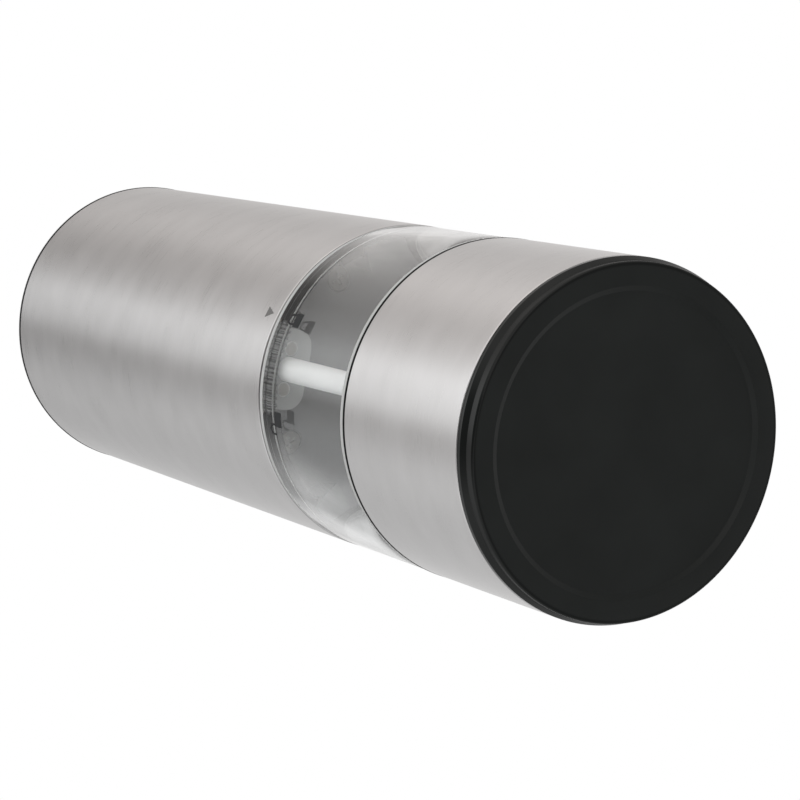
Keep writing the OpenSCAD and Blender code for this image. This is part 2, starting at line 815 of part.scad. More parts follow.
module gearbox_cover() {
    color(dark_grey) translate([0, 0, gear_cover_z]) difference() {
        cylinder(r = case_r, h = gear_cover_t);
        translate([0, 0, -past]) cylinder(r = motor_nose_r + seat, h = gear_cover_t + 2 * past);
        motor_screw_places() {
            translate([0, 0, -past]) cylinder(r = screw_r + seat, h = gear_cover_t + 2 * past);
            translate([0, 0, -hair])
                cylinder(r1 = screw_head_r + sink_room, r2 = screw_r + seat, h = sink_h + sink_room);
        }
    }
}

// Soft ring that keeps pepper dust out of the gearbox
module shaft_seal() {
    color(black) tube(hub_r + run + seal_ring, seal_ring, hub_z, seal_h);
}

// Floor of the head: carries the gearbox, and its hooks lock the head to the window
module motor_plate() {
    plate_r = shell_in - pass;
    color(dark_grey) difference() {
        union() {
            translate([0, 0, plate_z]) cylinder(r = plate_r, h = plate_t);
            translate([0, 0, hub_z]) cylinder(r = hub_r + boss_wall, h = plate_z - hub_z + sink);
            for (a = hook_angles) {
                sector(hook_in, hook_out, toe_z, plate_z - toe_z + sink, a - hook_arc / 2, hook_arc);
                sector(hook_out - sink, toe_r, toe_z, toe_t, a - hook_arc / 2, hook_arc);
            }
        }
        translate([0, 0, hub_z - past]) cylinder(r = hub_r + run, h = case_z - hub_z + 2 * past);
        translate([0, 0, hub_z - past]) cylinder(r = hub_r + run + seal_ring + run, h = seal_h + past);
        around(plate_screw_r, plate_screw_angles, plate_z) {
            translate([0, 0, -past]) cylinder(r = screw_r + seat, h = plate_t + 2 * past);
            translate([0, 0, -hair])
                cylinder(r1 = screw_head_r + sink_room, r2 = screw_r + seat, h = sink_h + sink_room);
        }
    }
}

module plate_screws() {
    color(steel) around(plate_screw_r, plate_screw_angles, plate_z) difference() {
        union() {
            translate([0, 0, seat]) cylinder(r1 = screw_head_r, r2 = screw_r, h = sink_h);
            translate([0, 0, sink]) cylinder(r = screw_r, h = plate_screw_l);
        }
        cross_recess(seat);
    }
}

// Moulded lining of the head, with ledges for the motor plate and the battery holder
module head_shell() {
    foot_z = head_z + 2 * seat;
    wide = 2 * ledge_lip;
    color(black) rotate_extrude() {
        translate([shell_in, foot_z]) square([shell_wall, upper_top - past - foot_z]);
        translate([shell_in - ledge_lip, plate_z - seat - ledge_lip]) square([ledge_lip + sink, ledge_lip]);
        translate([shell_in - wide, case_z + seat]) square([wide + sink, ledge_h]);
        translate([shell_in - wide, holder_floor_z - ledge_h]) square([wide + sink, ledge_h]);
    }
}

module upper_sleeve() {
    color(steel) tube(body_r, sleeve_wall, head_z, upper_sleeve_h);
}

// The four places of the cells
module cell_place(i) {
    rotate([0, 0, 360 / cell_count * (i + 1 / 2)]) translate([cell_ring_r, 0, 0]) children();
}

// Floor and four open tubes that hold the cells upright
module battery_holder() {
    tube_r_out = cell_bore + cell_wall;
    color(black) difference() {
        union() {
            translate([0, 0, holder_floor_z]) cylinder(r = shell_in - pass, h = holder_floor_t);
            for (i = [0 : cell_count - 1]) cell_place(i)
                translate([0, 0, holder_floor_z]) cylinder(r = tube_r_out, h = cradle_h);
        }
        for (i = [0 : cell_count - 1]) cell_place(i)
            translate([0, 0, holder_floor_z + holder_floor_t]) cylinder(r = cell_bore, h = cradle_h);
    }
}

// One cell, tip up on every second place
module battery_cell(i) {
    up = i % 2 == 0;
    body_z = cell_z + (up ? 0 : cell_tip_h);
    color(cell_blue) cell_place(i) {
        translate([0, 0, body_z]) cylinder(d = cell_d, h = cell_l - cell_tip_h);
        translate([0, 0, up ? cell_top - cell_tip_h - sink : cell_z])
            cylinder(r = cell_tip_r, h = cell_tip_h + sink);
    }
}

module bottom_contacts() {
    color(brass) for (i = [0 : cell_count - 1]) cell_place(i)
        translate([0, 0, cell_z - contact_t]) cylinder(r = cell_d / 2 - contact_inset, h = contact_t);
}

module cover_contacts() {
    color(brass) for (i = [0 : cell_count - 1]) cell_place(i)
        translate([0, 0, board_z - contact_t]) cylinder(r = cell_d / 2 - contact_inset, h = contact_t);
}

module switch_board() {
    color(board_green) translate([0, 0, board_z]) cylinder(r = board_r, h = board_t);
}

// Brass strip that the button bends down to start the motor
module switch_leaf() {
    color(brass) translate([-leaf_w / 2, -leaf_l / 2, 0]) {
        translate([0, 0, push_z - leaf_t - seat]) cube([leaf_w, leaf_l, leaf_t]);
        translate([0, 0, board_top]) cube([leaf_w, leaf_t, push_z - board_top - seat]);
    }
}

// Lid over the cells: plate with the button's hole, thin rim on the steel, skirt inside the lining
module top_cover() {
    color(black) rotate_extrude() difference() {
        union() {
            translate([button_r + pass, cover_under]) square([skirt_r - button_r - pass, cover_t]);
            translate([skirt_r - sink, rim_z]) square([rim_r - skirt_r + sink, rim_t]);
            translate([skirt_r - skirt_wall, skirt_z]) square([skirt_wall, cover_skirt + sink]);
        }
        translate([rim_r - rim_t / 2, cover_top - rim_t / 2]) round_corner(rim_t / 2);
    }
}

// Hollow push button with a retaining flange and a pusher in the middle
module push_button() {
    color(black) rotate_extrude() {
        difference() {
            union() {
                translate([0, flange_z]) square([button_r, button_top - flange_z]);
                translate([0, flange_z]) square([button_flange_r, button_flange_t]);
            }
            translate([0, flange_z - past])
                square([button_r - button_wall, button_top - button_wall - flange_z + past]);
            translate([button_r - button_edge_r, button_top - button_edge_r]) round_corner(button_edge_r);
        }
        translate([0, push_z]) square([push_r, button_top - push_z - sink]);
    }
}

module button_spring() {
    room = button_top - button_wall - board_top;
    color(steel) coil(button_spring_r, button_wire, board_top + seat, room - 2 * seat, button_turns);
}

base_cap();
lower_sleeve();
window_seal();
pepper_chamber();
lock_ring();
grinder_housing();
housing_screws();
stator();
lamp();
wire_tube();
contact_holder();
contact_pins();
adjuster_knob();
grinder_rotor();
rotor_spring();
shaft_collar();
drive_shaft();
output_carrier();
planet(stage2_z, 0);  // planet_2a
planet(stage2_z, 120);  // planet_2b
planet(stage2_z, 240);  // planet_2c
first_carrier();
planet(stage1_z, 0);  // planet_1a
planet(stage1_z, 120);  // planet_1b
planet(stage1_z, 240);  // planet_1c
motor_pinion();
motor_shaft();
motor();
motor_screws();
gearbox_case();
gearbox_cover();
shaft_seal();
motor_plate();
plate_screws();
head_contacts();
head_shell();
upper_sleeve();
battery_holder();
battery_cell(0);  // battery_cell_1
battery_cell(1);  // battery_cell_2
battery_cell(2);  // battery_cell_3
battery_cell(3);  // battery_cell_4
bottom_contacts();
cover_contacts();
switch_board();
switch_leaf();
top_cover();
push_button();
button_spring();
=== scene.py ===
# %% [markdown]
# # An electric pepper mill, dressed step by step
# The CAD frame gives every solid in its true place. This lesson puts the visible skin on it: brushed
# steel sleeves, a clear window, black mouldings and the small printed signs. Each step says what the
# piece is on the real mill, how it could be made, and why it is made this way here. Outlines and sizes
# are written in millimetres, and MM turns them into Blender's metres.

# %% Load the CAD frame
import math

import bmesh
import bpy
from mathutils import Matrix, Vector


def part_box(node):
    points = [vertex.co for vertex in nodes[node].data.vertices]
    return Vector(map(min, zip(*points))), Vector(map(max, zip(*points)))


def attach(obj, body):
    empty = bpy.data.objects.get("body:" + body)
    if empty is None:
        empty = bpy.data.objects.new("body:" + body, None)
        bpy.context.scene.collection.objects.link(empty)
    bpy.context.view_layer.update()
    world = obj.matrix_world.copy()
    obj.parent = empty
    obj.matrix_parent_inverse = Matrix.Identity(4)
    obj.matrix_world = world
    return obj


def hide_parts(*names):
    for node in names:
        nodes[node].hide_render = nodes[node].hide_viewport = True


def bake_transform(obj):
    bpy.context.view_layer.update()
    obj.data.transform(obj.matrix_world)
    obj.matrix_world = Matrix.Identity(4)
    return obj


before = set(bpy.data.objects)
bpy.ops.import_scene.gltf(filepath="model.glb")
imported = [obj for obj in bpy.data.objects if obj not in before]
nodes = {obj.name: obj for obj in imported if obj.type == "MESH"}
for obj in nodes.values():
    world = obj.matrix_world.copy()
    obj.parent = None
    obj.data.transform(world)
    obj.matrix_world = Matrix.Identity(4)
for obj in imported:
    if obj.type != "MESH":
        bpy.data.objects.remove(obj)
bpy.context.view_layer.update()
scene = bpy.context.scene
MM = 0.001

# %% [markdown]
# ## Camera
# The photograph looks up at the mill's foot, with the mill on its side. The part itself stays upright,
# so the camera is rolled instead. Its three axes are written out as a matrix, because they were
# measured from the ring edges and a look-at target would hide the roll.

# %% Camera
FOCAL_MM, SENSOR_MM = 120.9, 36.0
CAMERA_PLACE = (0.01916, -0.26524, -0.37479)
RIGHT = Vector((0.1813, 0.8527, -0.4899))
UP = Vector((0.9826, -0.1362, 0.1265))
AHEAD = Vector((-0.0412, 0.5043, 0.8626))

camera_data = bpy.data.cameras.new("photo_camera")
camera_data.lens = FOCAL_MM
camera_data.sensor_width = SENSOR_MM
camera = bpy.data.objects.new("photo_camera", camera_data)
scene.collection.objects.link(camera)
rolled = Matrix((RIGHT, UP, -AHEAD)).transposed().to_4x4()
camera.matrix_world = Matrix.Translation(CAMERA_PLACE) @ rolled
scene.camera = camera
scene.view_settings.view_transform = "Standard"
print("camera", FOCAL_MM, "mm at", CAMERA_PLACE)

# %% [markdown]
# ## Small helpers for nodes
# A shader is a chain of nodes. Two helpers keep the chains short to read. One adds a node and fills its
# inputs: a socket is linked and any other value is set. The other starts a material with its Principled
# shader and sets the numbers that are the same all over the surface.

# %% Node helpers
def add(tree, kind, settings=None, **inputs):
    # An input goes by its name, or by its number as i0, i1 and so on.
    node = tree.nodes.new(kind)
    for name, value in (settings or {}).items():
        setattr(node, name, value)
    for name, value in inputs.items():
        place = node.inputs[int(name[1:]) if name[1:].isdigit() else name.replace("_", " ")]
        if isinstance(value, bpy.types.NodeSocket):
            tree.links.new(value, place)
        else:
            place.default_value = value
    return node


def new_material(name, colour, **constants):
    material = bpy.data.materials.new(name)
    material.use_nodes = True
    material.diffuse_color = (*colour, 1.0)
    shader = material.node_tree.nodes["Principled BSDF"]
    shader.inputs["Base Color"].default_value = (*colour, 1.0)
    for label, value in constants.items():
        shader.inputs[label.replace("_", " ")].default_value = value
    return material, material.node_tree, shader.inputs

print("node helpers ready")

# %% [markdown]
# ## Small helpers for patterns
# Most finishes need the same few steps: a noise, a sum, a change of range, a soft-edged stripe and a mix
# of two colours. Every pattern reads Object coordinates, because a piece's object stays at the origin and
# the pattern then keeps its place on it. The mill is round, so the distance from its axis and the turn
# round it are useful too.

# %% Pattern helpers
def noise(tree, scale, detail, roughness=0.5):
    place = add(tree, "ShaderNodeTexCoord").outputs["Object"]
    scaled = add(tree, "ShaderNodeMapping", Vector=place, Scale=scale).outputs["Vector"]
    return add(tree, "ShaderNodeTexNoise", Vector=scaled, Scale=1.0, Detail=detail,
               Roughness=roughness).outputs["Fac"]


def maths(tree, operation, first, second=0.0, third=0.0):
    return add(tree, "ShaderNodeMath", {"operation": operation}, i0=first, i1=second, i2=third).outputs[0]


def polar(tree):
    place = add(tree, "ShaderNodeTexCoord").outputs["Object"]
    flat = add(tree, "ShaderNodeVectorMath", {"operation": "MULTIPLY"}, i0=place, i1=(1, 1, 0)).outputs[0]
    radius = add(tree, "ShaderNodeVectorMath", {"operation": "LENGTH"}, i0=flat).outputs["Value"]
    parts = add(tree, "ShaderNodeSeparateXYZ", Vector=place).outputs
    return radius, maths(tree, "ARCTAN2", parts["Y"], parts["X"])


def ramp(tree, value, low, high, from_min=0.3, from_max=0.7):
    # The middle part of a noise is the default range, since its ends are seldom reached.
    return add(tree, "ShaderNodeMapRange", Value=value, From_Min=from_min, From_Max=from_max,
               To_Min=low, To_Max=high).outputs["Result"]


def card(tree, value, middle, half, edge):
    away = maths(tree, "ABSOLUTE", maths(tree, "SUBTRACT", value, middle))
    return ramp(tree, away, 1.0, 0.0, half - edge, half + edge)


def tint(tree, factor, dark, light):
    return add(tree, "ShaderNodeMix", {"data_type": "RGBA"}, i0=factor, i6=(*dark, 1.0),
               i7=(*light, 1.0)).outputs[2]

print("pattern helpers ready")

# %% [markdown]
# ## Brushed steel
# The sleeves are thin steel tube, brushed round and round. Each scratch is a fine line along the
# circumference, so light spreads along the mill's axis and gathers in bands. A stretched noise gives the
# scratches: it hardly changes round the tube and changes fast along Z. Anisotropy with a radial tangent,
# turned a quarter, gives the bands. A soft broad noise keeps the sheet from looking like a drawing.

# %% Brushed steel
STEEL_COLOUR = (0.56, 0.555, 0.551)
STEEL_DARK, STEEL_LIGHT = (0.523, 0.516, 0.514), (0.597, 0.589, 0.588)
SCRATCH_SCALE, CLOUD_SCALE = (140, 140, 9000), (90, 90, 170)
SCRATCH_SHARE, CLOUD_SHARE, SCRATCH_DEPTH = 0.4, 0.6, 0.02 * MM


def brushed_steel():
    material, tree, inputs = new_material("brushed_steel", STEEL_COLOUR, Metallic=1.0, Anisotropic=0.6,
                                          Anisotropic_Rotation=0.25)
    scratches = noise(tree, SCRATCH_SCALE, 4.0, 0.6)
    clouds = noise(tree, CLOUD_SCALE, 4.0, 0.55)
    mixed = maths(tree, "MULTIPLY_ADD", scratches, SCRATCH_SHARE,
                  maths(tree, "MULTIPLY", clouds, CLOUD_SHARE))
    shade = tint(tree, ramp(tree, mixed, 0.0, 1.0, 0.28, 0.72), STEEL_DARK, STEEL_LIGHT)
    tree.links.new(shade, inputs["Base Color"])
    rough = maths(tree, "ADD", ramp(tree, scratches, 0.27, 0.33), ramp(tree, clouds, -0.01, 0.01))
    tree.links.new(rough, inputs["Roughness"])
    bump = add(tree, "ShaderNodeBump", Strength=0.03, Distance=SCRATCH_DEPTH, Height=scratches)
    tree.links.new(bump.outputs["Normal"], inputs["Normal"])
    tangent = add(tree, "ShaderNodeTangent", {"direction_type": "RADIAL", "axis": "Z"})
    tree.links.new(tangent.outputs["Tangent"], inputs["Tangent"])
    return material

STEEL = brushed_steel()
print("finish:", STEEL.name)

# %% [markdown]
# ## Mouldings, rubber, ceramic and small metal
# Most other pieces share one idea: a base colour that varies a little, a roughness that varies a little,
# and a fine grain in the surface from the mould or the kiln. One function with a few numbers gives all of
# them, so the differences between them can be read side by side.

# %% Grained finishes
BROAD_SCALE, GRAIN_DEPTH = (70, 70, 70), 0.02 * MM


def grained(name, colour, rough, grain_mm, bump=0.1, vary=0.12, **constants):
    material, tree, inputs = new_material(name, colour, **constants)
    fine = noise(tree, (1 / (grain_mm * MM),) * 3, 4.0, 0.6)
    broad = noise(tree, BROAD_SCALE, 3.0)
    dark = tuple(c * (1 - vary) for c in colour)
    light = tuple(min(1.0, c * (1 + vary)) for c in colour)
    tree.links.new(tint(tree, ramp(tree, broad, 0.0, 1.0), dark, light), inputs["Base Color"])
    both = maths(tree, "MULTIPLY_ADD", fine, 0.5, maths(tree, "MULTIPLY", broad, 0.5))
    tree.links.new(ramp(tree, both, rough * 0.85, min(1.0, rough * 1.15)), inputs["Roughness"])
    dent = add(tree, "ShaderNodeBump", Strength=bump, Distance=GRAIN_DEPTH, Height=fine)
    tree.links.new(dent.outputs["Normal"], inputs["Normal"])
    return material

BLACK = grained("black_moulding", (0.0085, 0.0092, 0.0092), 0.46, 0.16, bump=0.12, Specular_IOR_Level=0.42)
RUBBER = grained("seal_rubber", (0.006, 0.006, 0.006), 0.8, 0.3, Specular_IOR_Level=0.1)
WHITE = grained("white_tube_plastic", (0.93, 0.935, 0.93), 0.32, 0.5, bump=0.04, vary=0.015)
GREY = grained("grey_moulding", (0.16, 0.165, 0.168), 0.5, 0.2)
CERAMIC = grained("fired_ceramic", (0.80, 0.77, 0.70), 0.55, 0.12, bump=0.25, vary=0.05)
NYLON = grained("natural_nylon", (0.78, 0.75, 0.66), 0.45, 0.4, bump=0.05, vary=0.04)
BRASS = grained("sheet_brass", (0.72, 0.53, 0.24), 0.28, 0.3, bump=0.05, vary=0.06, Metallic=1.0)
DRAWN = grained("drawn_steel", (0.56, 0.56, 0.55), 0.3, 0.2, bump=0.06, vary=0.06, Metallic=1.0)
PLATED = grained("tin_plate", (0.86, 0.85, 0.83), 0.45, 0.2, bump=0.05, vary=0.04, Metallic=1.0)
ZINC = grained("zinc_plated_can", (0.60, 0.60, 0.58), 0.34, 0.6, bump=0.05, vary=0.08, Metallic=1.0)
BOARD = grained("board_lacquer", (0.02, 0.10, 0.045), 0.3, 0.7, bump=0.05)
print("grained finishes, from", BLACK.name, "to", BOARD.name)

# %% [markdown]
# ## Clear and milky plastic
# The window is a thick acrylic wall. Its looks come from refraction, so it needs a closed solid, a true
# index of 1.49, no roughness and hardly any colour. The contact holder is natural plastic: it lets light
# through but blurs it, which a rough transmission with some white in it gives. Light gathers in the ribs
# of its wall, so they show as bright and dark bars behind the window. A noise over the turn paints these
# bars into its colour, as painted highlight and painted shade.

# %% Clear finishes
HAZE_SCALE, FLOW_SCALE, RIBS_SCALE = (300, 300, 300), (220, 220, 220), 70.0
HAZE_DARK, HAZE_LIGHT = (0.955, 0.97, 0.97), (0.98, 0.99, 0.99)
RIB_PAINTED_SHADE, RIB_PAINTED_HIGHLIGHT = (0.30, 0.31, 0.31), (0.98, 0.98, 0.98)
PLATE_TO_WALL, WALL_TO_RIBS = (26.7 * MM, 27.0 * MM), (27.5 * MM, 27.7 * MM)


def clear_acrylic():
    material, tree, inputs = new_material("clear_acrylic", (0.97, 0.985, 0.985), IOR=1.49, Roughness=0.0,
                                          Transmission_Weight=1.0)
    haze = ramp(tree, noise(tree, HAZE_SCALE, 4.0), 0.0, 1.0)
    tree.links.new(tint(tree, haze, HAZE_DARK, HAZE_LIGHT), inputs["Base Color"])
    return material


def milky_plastic(name, colour, clearness, rough):
    material, tree, inputs = new_material(name, colour, IOR=1.5, Transmission_Weight=clearness)
    flow = noise(tree, FLOW_SCALE, 3.0)
    tree.links.new(ramp(tree, flow, rough * 0.7, rough * 1.3), inputs["Roughness"])
    return material


def paint_rib_light(material):
    tree = material.node_tree
    radius, turn = polar(tree)
    bars = add(tree, "ShaderNodeTexNoise", {"noise_dimensions": "1D"}, W=turn, Scale=RIBS_SCALE, Detail=1.0)
    # Bars over the turn, painted into the wall's colour: painted highlight and painted shade.
    lit = maths(tree, "MULTIPLY", ramp(tree, bars.outputs["Fac"], 0.0, 1.0, 0.46, 0.54),
                ramp(tree, radius, 0.15, 1.0, *WALL_TO_RIBS))
    wall = tint(tree, lit, RIB_PAINTED_SHADE, RIB_PAINTED_HIGHLIGHT)
    colour = tree.nodes["Principled BSDF"].inputs["Base Color"]
    mix = add(tree, "ShaderNodeMix", {"data_type": "RGBA"}, i0=ramp(tree, radius, 0.0, 1.0, *PLATE_TO_WALL),
              i6=tuple(colour.default_value), i7=wall)
    tree.links.new(mix.outputs[2], colour)
    return material

CLEAR = clear_acrylic()
MILKY = paint_rib_light(milky_plastic("milky_plastic", (0.93, 0.95, 0.95), 0.6, 0.18))
LENS = milky_plastic("lamp_lens", (0.92, 0.94, 0.96), 0.9, 0.15)
# Pale, partly clear bands for the bright edge lines on the window: painted highlight.
PAINTED_EDGE_HIGHLIGHT = milky_plastic("painted_edge_highlight", (0.52, 0.525, 0.52), 0.25, 0.45)
print("clear finishes:", CLEAR.name, MILKY.name, LENS.name, PAINTED_EDGE_HIGHLIGHT.name)

# %% [markdown]
# ## Printed ink and cell wrap
# The signs are pad printed, a thin dark film. The cells have a plain printed sleeve with one lighter end,
# so a band by height is enough and no lettering is needed.

# %% Ink and cell wrap
INK = grained("printed_ink", (0.028, 0.029, 0.030), 0.6, 0.2, bump=0.08, Specular_IOR_Level=0.08)
PALE_INK = grained("pale_printed_ink", (0.12, 0.118, 0.115), 0.5, 0.2, bump=0.08, Specular_IOR_Level=0.3)
WRAP_BLUE, WRAP_PALE = (0.05, 0.13, 0.32), (0.62, 0.60, 0.56)
WRAP_CHANGE = (178.5 * MM, 178.7 * MM)


def cell_wrap():
    material, tree, inputs = new_material("cell_wrap", WRAP_BLUE, Roughness=0.3)
    place = add(tree, "ShaderNodeTexCoord").outputs["Object"]
    height = add(tree, "ShaderNodeSeparateXYZ", Vector=place).outputs["Z"]
    band = ramp(tree, height, 0.0, 1.0, *WRAP_CHANGE)
    tree.links.new(tint(tree, band, WRAP_BLUE, WRAP_PALE), inputs["Base Color"])
    return material

WRAP = cell_wrap()
print("inks and wrap:", INK.name, PALE_INK.name, WRAP.name)

# %% [markdown]
# ## Finishes on the CAD pieces
# The inner pieces keep their CAD shape, which is already right, and only get a finish. A table of finish
# to nodes is easier to check than one assignment for each piece.

# %% Finish the CAD pieces
FINISHES = {
    BLACK: "base_cap grinder_housing lock_ring head_shell battery_holder top_cover push_button",
    STEEL: "lower_sleeve upper_sleeve",
    RUBBER: "window_seal shaft_seal",
    CLEAR: "pepper_chamber",
    MILKY: "contact_holder",
    LENS: "lamp",
    WHITE: "wire_tube adjuster_knob",
    CERAMIC: "stator grinder_rotor",
    DRAWN: "housing_screws rotor_spring shaft_collar drive_shaft motor_shaft motor_screws plate_screws "
           "button_spring",
    PLATED: "contact_pins head_contacts",
    ZINC: "motor",
    NYLON: "output_carrier first_carrier planet_1a planet_1b planet_1c planet_2a planet_2b planet_2c",
    GREY: "motor_plate gearbox_case gearbox_cover",
    BRASS: "motor_pinion bottom_contacts cover_contacts switch_leaf",
    WRAP: "battery_cell_1 battery_cell_2 battery_cell_3 battery_cell_4",
    BOARD: "switch_board",
}
for finish, names in FINISHES.items():
    for name in names.split():
        nodes[name].data.materials.clear()
        nodes[name].data.materials.append(finish)
print("finished nodes:", sum(len(n.split()) for n in FINISHES.values()), "of", len(nodes))

# %% [markdown]
# ## Rounded outlines
# A real moulding has no sharp edge, and the small radius is what catches the light. An outline is a list of
# radius, height and rounding. Each rounded corner becomes a short arc that touches both of its sides. A
# Bevel modifier could round the finished mesh, but it can't give each corner a radius of its own so simply.

# %% Rounded outlines
def rounded(outline, steps=5):
    points = []
    for i, (r, z, radius) in enumerate(outline):
        corner = Vector((r, z))
        if not radius:
            points.append(corner)
            continue
        back = (Vector(outline[i - 1][:2]) - corner).normalized()
        on = (Vector(outline[(i + 1) % len(outline)][:2]) - corner).normalized()
        half = back.angle(on) / 2
        middle = corner + (back + on).normalized() * radius / math.sin(half)
        first = corner + back * radius / math.tan(half) - middle
        last = corner + on * radius / math.tan(half) - middle
        turn = first.angle(last)
        for k in range(steps + 1):
            t = k / steps
            spoke = first * math.sin((1 - t) * turn) + last * math.sin(t * turn)
            points.append(middle + spoke / math.sin(turn))
    return points

print("a square with rounded corners has", len(rounded([(1, 0, 0.1), (2, 0, 0.1), (2, 1, 0.1), (1, 1, 0.1)])),
      "points")

# %% [markdown]
# ## Turned shapes
# Cap, window, cover and button are round, so each is one outline turned about Z. A Screw modifier could do
# it, but rings of vertices made in code keep the poles and seams closed. Every finished piece then rides
# on a body of the CAD frame, and the CAD node it stands for is hidden.

# %% Turned shapes
SMOOTH_DEG, MERGE_WITHIN, ON_AXIS = 35, 1e-7, 1e-6


def finish_mesh(bm, name, material, smooth_deg=SMOOTH_DEG):
    bmesh.ops.remove_doubles(bm, verts=bm.verts, dist=MERGE_WITHIN)
    bmesh.ops.recalc_face_normals(bm, faces=bm.faces)
    mesh = bpy.data.meshes.new(name)
    bm.to_mesh(mesh)
    bm.free()
    mesh.materials.append(material)
    mesh.polygons.foreach_set("use_smooth", [True] * len(mesh.polygons))
    mesh.set_sharp_from_angle(angle=math.radians(smooth_deg))
    piece = bpy.data.objects.new(name, mesh)
    scene.collection.objects.link(piece)
    return piece


def on_circle(bm, radius, angle, z):
    return bm.verts.new((radius * MM * math.cos(angle), radius * MM * math.sin(angle), z * MM))


def turned(name, outline, material, segments=192):
    bm = bmesh.new()
    rings = []
    for radius, z in rounded(outline):
        count = segments if radius > ON_AXIS else 1
        rings.append([on_circle(bm, radius, 2 * math.pi * k / segments, z) for k in range(count)])
    for low, high in zip(rings, rings[1:] + rings[:1]):
        for k in range(segments):
            n = (k + 1) % segments
            if len(low) > 1 and len(high) > 1:
                bm.faces.new((low[k], low[n], high[n], high[k]))
            elif len(low) > 1:
                bm.faces.new((low[k], low[n], high[0]))
            elif len(high) > 1:
                bm.faces.new((low[0], high[n], high[k]))
    return finish_mesh(bm, name, material)


def dress(piece, body, slot, *stands_for):
    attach(piece, body)
    if stands_for:
        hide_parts(*stands_for)
    print(f"{piece.name}: {len(piece.data.polygons)} faces on {body}")

# %% [markdown]
# ## Cap finish
# The mould's face is blasted and its side is polished, and so is the step of the recess. The finish is the
# matt black with a roughness that drops there by the distance from the axis, so one material does for the
# whole cap. The side's base colour is darkened as well, which is painted shade, and the rounded edge has
# less gloss where it is seen from the side.

# %% Cap finish
CAP_GLOSS, EDGE_GLOSS = 0.2, 0.04
STEP_R, STEP_HALF, STEP_SOFT, STEP_POLISH = 26.7 * MM, 0.6 * MM, 0.1 * MM, 0.4
# The side's colour is scaled down by SIDE_PAINTED_SHADE: painted shade.
SIDE_BEGINS, SIDE_ROUGH, SIDE_PAINTED_SHADE = (30.4 * MM, 30.8 * MM), 0.4, 0.55
EDGE_R, EDGE_HALF, EDGE_SOFT = 31.1 * MM, 0.28 * MM, 0.01 * MM


def cap_moulding():
    material = grained("cap_moulding", (0.0105, 0.0120, 0.0114), 0.46, 0.16, bump=0.12,
                       Specular_IOR_Level=CAP_GLOSS)
    tree = material.node_tree
    inputs = tree.nodes["Principled BSDF"].inputs
    blasted = inputs["Roughness"].links[0].from_socket
    colour = inputs["Base Color"].links[0].from_socket
    radius, _ = polar(tree)
    step = maths(tree, "MULTIPLY", card(tree, radius, STEP_R, STEP_HALF, STEP_SOFT), STEP_POLISH)
    side = ramp(tree, radius, 0.0, 1.0, *SIDE_BEGINS)
    matt = ramp(tree, maths(tree, "MAXIMUM", side, step), 1.0, SIDE_ROUGH, 0.0, 1.0)
    tree.links.new(maths(tree, "MULTIPLY", blasted, matt), inputs["Roughness"])
    # Painted shade: the base colour is darker on the cap's side.
    darker = add(tree, "ShaderNodeVectorMath", {"operation": "SCALE"}, i0=colour,
                 Scale=ramp(tree, side, 1.0, SIDE_PAINTED_SHADE, 0.0, 1.0))
    tree.links.new(darker.outputs["Vector"], inputs["Base Color"])
    facing = add(tree, "ShaderNodeLayerWeight", Blend=0.5).outputs["Facing"]
    edge = maths(tree, "MULTIPLY", card(tree, radius, EDGE_R, EDGE_HALF, EDGE_SOFT),
                 ramp(tree, facing, 0.0, 1.0, 0.3, 0.6))
    tree.links.new(ramp(tree, edge, CAP_GLOSS, EDGE_GLOSS, 0.0, 1.0), inputs["Specular IOR Level"])
    return material

CAP_BLACK = cap_moulding()
print("finish:", CAP_BLACK.name)

# %% [markdown]
# ## Base cap
# The cap is a moulding with a flange for the fingernails, a slanted waist, a rounded foot and a shallow
# round recess below. The plug ring inside pushes into the mill's foot. All of it is one turned outline,
# which starts in the middle of the recess, runs outwards and up, and comes back along the inside.

# %% Base cap
cap_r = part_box("base_cap")[1].x / MM
recess_r, foot_r, waist_r, groove_r, plug_r, bore_r = 26.2, 27.2, cap_r - 0.7, 29.6, 27.7, 26.5
recess_z, waist_z, flange_z, flange_top, web_top, plug_top = 0.5, 1.8, 2.8, 3.8, 2.4, 7.4
cap = turned("base_cap_moulded", [
    (0, recess_z, 0), (recess_r, recess_z, 0.5), (foot_r, 0, 0.35), (waist_r, 0, 0.5),
    (waist_r, waist_z, 0.15), (cap_r, flange_z, 0.12), (cap_r, flange_top, 0.25), (groove_r, flange_top, 0.2),
    (groove_r, web_top, 0.2), (plug_r, web_top, 0.2), (plug_r, plug_top, 0.3), (bore_r, plug_top, 0.3),
    (bore_r, web_top, 0.2), (0, web_top, 0),
], CAP_BLACK)
dress(cap, "cap", "black_plastic", "base_cap")

# %% [markdown]
# ## Geometry Nodes helpers
# A node tree keeps the rule of a shape with its sizes as named inputs. The helper below makes a tree with
# such inputs, and another one runs it on an empty mesh and keeps the result as a plain mesh, because the
# export takes meshes only. Faces that meet at more than a few degrees stay sharp: then the small roundings
# don't tilt the shading of the long straight wall next to them.

# %% Geometry Nodes helpers
SOCKETS = {float: "NodeSocketFloat", int: "NodeSocketInt"}
STRAIGHT_WALL_DEG = 6


def new_tree(name, sizes):
    tree = bpy.data.node_groups.new(name, "GeometryNodeTree")
    tree.interface.new_socket("Geometry", in_out="OUTPUT", socket_type="NodeSocketGeometry")
    for label, value in sizes.items():
        socket = tree.interface.new_socket(label, in_out="INPUT", socket_type=SOCKETS[type(value)])
        socket.default_value = value
    tree.interface.new_socket("Finish", in_out="INPUT", socket_type="NodeSocketMaterial")
    return tree, tree.nodes.new("NodeGroupInput").outputs


def close_tree(tree, geometry, given):
    real = add(tree, "GeometryNodeRealizeInstances", Geometry=geometry)
    finished = add(tree, "GeometryNodeSetMaterial", Geometry=real.outputs[0], Material=given["Finish"])
    add(tree, "NodeGroupOutput", Geometry=finished.outputs[0])


